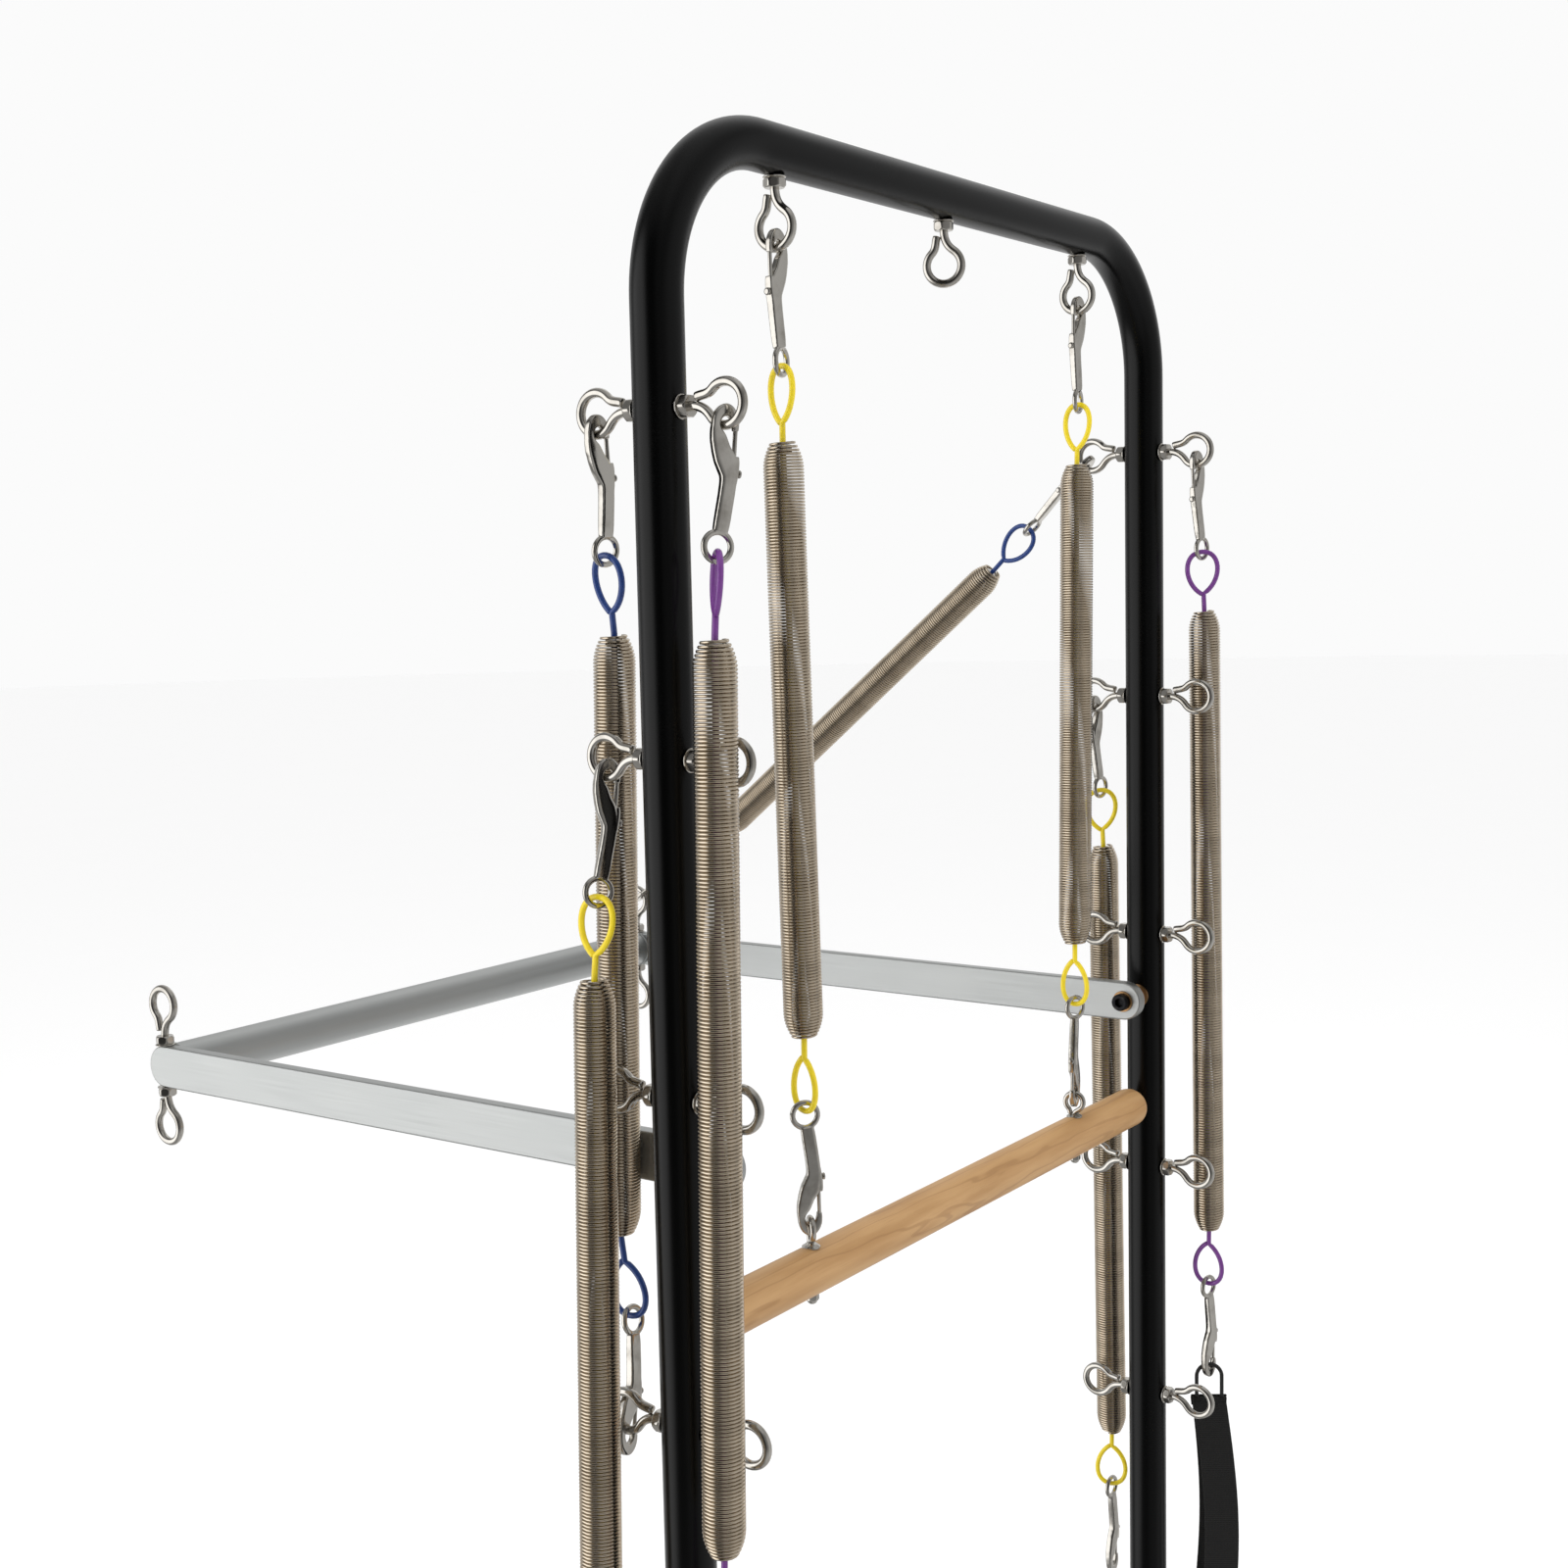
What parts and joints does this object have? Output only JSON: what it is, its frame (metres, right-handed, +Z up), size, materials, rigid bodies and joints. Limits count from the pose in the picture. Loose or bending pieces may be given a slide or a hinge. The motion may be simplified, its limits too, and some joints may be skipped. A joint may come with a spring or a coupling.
{
  "type": "pilates tower unit",
  "caption": "Bent tube arch with ring bolts on its uprights, a hinged push-through bar, a wooden roll-down bar on springs, and spring chains with snaps and foot straps.",
  "frame": {"origin": "midway between the undersides of the two feet, on the plane they stand on", "axes": "+Z up the uprights; +X from the left to the right upright; +Y to the side that the push-through bar points to"},
  "size_m": [0.8964, 0.7329, 1.616],
  "materials": {
    "frame_paint": "satin black powder coat",
    "nickel": "bright nickel plating",
    "spring_steel": "drawn nickel plated wire",
    "aluminium": "satin silver anodised",
    "maple": "clear lacquered maple",
    "yellow_cable": "vinyl coat over steel cable",
    "blue_cable": "vinyl coat over steel cable",
    "purple_cable": "vinyl coat over steel cable",
    "webbing": "black nylon webbing",
    "bolt_steel": "black oxide steel with a bronze washer"
  },
  "bodies": {
    "tower_frame": {"frame_tube": "frame_paint", "eye_bolt_left_row_1": "nickel", "eye_bolt_left_row_2": "nickel", "eye_bolt_left_row_3": "nickel", "eye_bolt_left_row_4": "nickel", "eye_bolt_left_row_5": "nickel", "eye_bolt_right_row_1": "nickel", "eye_bolt_right_row_2": "nickel", "eye_bolt_right_row_3": "nickel", "eye_bolt_right_row_4": "nickel", "eye_bolt_right_row_5": "nickel", "top_eye_left": "nickel", "top_eye_middle": "nickel", "top_eye_right": "nickel", "pivot_bolt_left": "bolt_steel", "pivot_bolt_right": "bolt_steel", "stored_upper_snap": "nickel", "stored_safety_cable": "blue_cable", "stored_spring": "spring_steel", "stored_lower_snap": "nickel"},
    "push_bar": {"push_bar_arm_left": "aluminium", "push_bar_arm_right": "aluminium", "push_bar_crossbar": "aluminium", "push_bar_eye_left": "nickel", "push_bar_eye_right": "nickel"},
    "hold_up_chain": {"hold_up_upper_snap": "nickel", "hold_up_spring": "spring_steel"},
    "hold_up_cable": {"hold_up_safety_cable": "blue_cable"},
    "hold_up_hook": {"hold_up_lower_snap": "nickel"},
    "roll_down_springs": {"roll_left_upper_snap": "nickel", "roll_left_spring": "spring_steel", "roll_left_safety_cable": "yellow_cable", "roll_right_upper_snap": "nickel", "roll_right_spring": "spring_steel", "roll_right_safety_cable": "yellow_cable"},
    "roll_down_bar": {"roll_down_bar": "maple", "roll_bar_eye_left": "nickel", "roll_bar_eye_right": "nickel", "roll_left_lower_snap": "nickel", "roll_right_lower_snap": "nickel"},
    "leg_chain_left": {"leg_left_upper_snap": "nickel", "leg_left_spring": "spring_steel", "leg_left_safety_cable": "purple_cable"},
    "leg_strap_left": {"leg_left_lower_snap": "nickel", "foot_strap_left": "webbing"},
    "leg_thumb_left": {"leg_left_thumb_bolt": "nickel"},
    "arm_chain_left": {"arm_left_upper_snap": "nickel", "arm_left_spring": "spring_steel", "arm_left_safety_cable": "yellow_cable"},
    "arm_hook_left": {"arm_left_lower_snap": "nickel"},
    "leg_chain_right": {"leg_right_upper_snap": "nickel", "leg_right_spring": "spring_steel", "leg_right_safety_cable": "purple_cable"},
    "leg_strap_right": {"leg_right_lower_snap": "nickel", "foot_strap_right": "webbing"},
    "leg_thumb_right": {"leg_right_thumb_bolt": "nickel"},
    "arm_chain_right": {"arm_right_upper_snap": "nickel", "arm_right_spring": "spring_steel", "arm_right_safety_cable": "yellow_cable"},
    "arm_hook_right": {"arm_right_lower_snap": "nickel"}
  },
  "joints": [
    {"name": "push_bar_pivot", "type": "hinge", "parent": "tower_frame", "child": "push_bar", "pos_m": [0, 0, 0.851], "axis": [1, 0, 0], "range_deg": [-35, 2.5], "stiffness_Nm_per_rad": 42, "springref_deg": 13.36},
    {"name": "hold_up_swing", "type": "hinge", "parent": "tower_frame", "child": "hold_up_chain", "pos_m": [0.39, 0.0565, 1.4], "axis": [1, 0, 0], "range_deg": [-19.84, 1.46], "deforming": ["hold_up_spring"]},
    {"name": "hold_up_stretch", "type": "slide", "parent": "hold_up_chain", "child": "hold_up_cable", "axis": [0, 0.7609, -0.6489], "range_m": [-0.0176, 0.2395], "deforming": ["hold_up_spring", "hold_up_safety_cable"]},
    {"name": "hold_up_hook_turn", "type": "hinge", "parent": "push_bar", "child": "hold_up_hook", "pos_m": [0.3414, 0.634, 0.9075], "axis": [1, 0, 0], "range_deg": [-1.14, 15.26]},
    {"name": "roll_down_swing", "type": "hinge", "parent": "tower_frame", "child": "roll_down_springs", "pos_m": [0, 0, 1.5407], "axis": [1, 0, 0], "range_deg": [-45, 0]},
    {"name": "roll_down_stretch", "type": "slide", "parent": "roll_down_springs", "child": "roll_down_bar", "axis": [0, 0, -1], "range_m": [0, 0.3], "stiffness_N_per_m": 400, "springref_m": -0.03, "deforming": ["roll_left_spring", "roll_left_safety_cable", "roll_right_spring", "roll_right_safety_cable"]},
    {"name": "leg_swing_left", "type": "hinge", "parent": "tower_frame", "child": "leg_chain_left", "pos_m": [-0.39, -0.0565, 1.4], "axis": [1, 0, 0], "range_deg": [-75, 0]},
    {"name": "leg_stretch_left", "type": "slide", "parent": "leg_chain_left", "child": "leg_strap_left", "axis": [-0.024, 0, -0.9997], "range_m": [0, 0.5], "stiffness_N_per_m": 150, "springref_m": -0.03, "deforming": ["leg_left_spring", "leg_left_safety_cable"]},
    {"name": "leg_thumb_slide_left", "type": "slide", "parent": "leg_strap_left", "child": "leg_thumb_left", "axis": [0, 0, 1], "range_m": [0, 0.0085], "stiffness_N_per_m": 300, "springref_m": -0.004},
    {"name": "arm_swing_left", "type": "hinge", "parent": "tower_frame", "child": "arm_chain_left", "pos_m": [-0.39, 0.0565, 1.1565], "axis": [1, 0, 0], "range_deg": [0, 75]},
    {"name": "arm_stretch_left", "type": "slide", "parent": "arm_chain_left", "child": "arm_hook_left", "axis": [-0.03, 0, -0.9995], "range_m": [0, 0.5], "stiffness_N_per_m": 150, "springref_m": -0.03, "deforming": ["arm_left_spring", "arm_left_safety_cable"]},
    {"name": "leg_swing_right", "type": "hinge", "parent": "tower_frame", "child": "leg_chain_right", "pos_m": [0.39, -0.0565, 1.4], "axis": [1, 0, 0], "range_deg": [-75, 0]},
    {"name": "leg_stretch_right", "type": "slide", "parent": "leg_chain_right", "child": "leg_strap_right", "axis": [0.016, 0, -0.9999], "range_m": [0, 0.5], "stiffness_N_per_m": 150, "springref_m": -0.03, "deforming": ["leg_right_spring", "leg_right_safety_cable"]},
    {"name": "leg_thumb_slide_right", "type": "slide", "parent": "leg_strap_right", "child": "leg_thumb_right", "axis": [0, 0, 1], "range_m": [0, 0.0085], "stiffness_N_per_m": 300, "springref_m": -0.004},
    {"name": "arm_swing_right", "type": "hinge", "parent": "tower_frame", "child": "arm_chain_right", "pos_m": [0.39, 0.0565, 1.1565], "axis": [1, 0, 0], "range_deg": [0, 75]},
    {"name": "arm_stretch_right", "type": "slide", "parent": "arm_chain_right", "child": "arm_hook_right", "axis": [0.019, 0, -0.9998], "range_m": [0, 0.5], "stiffness_N_per_m": 150, "springref_m": -0.03, "deforming": ["arm_right_spring", "arm_right_safety_cable"]}
  ],
  "couplings": [
    {"joint": "hold_up_swing", "follows": "push_bar_pivot", "ratio": 0.5654},
    {"joint": "hold_up_stretch", "follows": "push_bar_pivot", "m_per_rad": -0.3912},
    {"joint": "hold_up_hook_turn", "follows": "push_bar_pivot", "ratio": -0.4346}
  ]
}
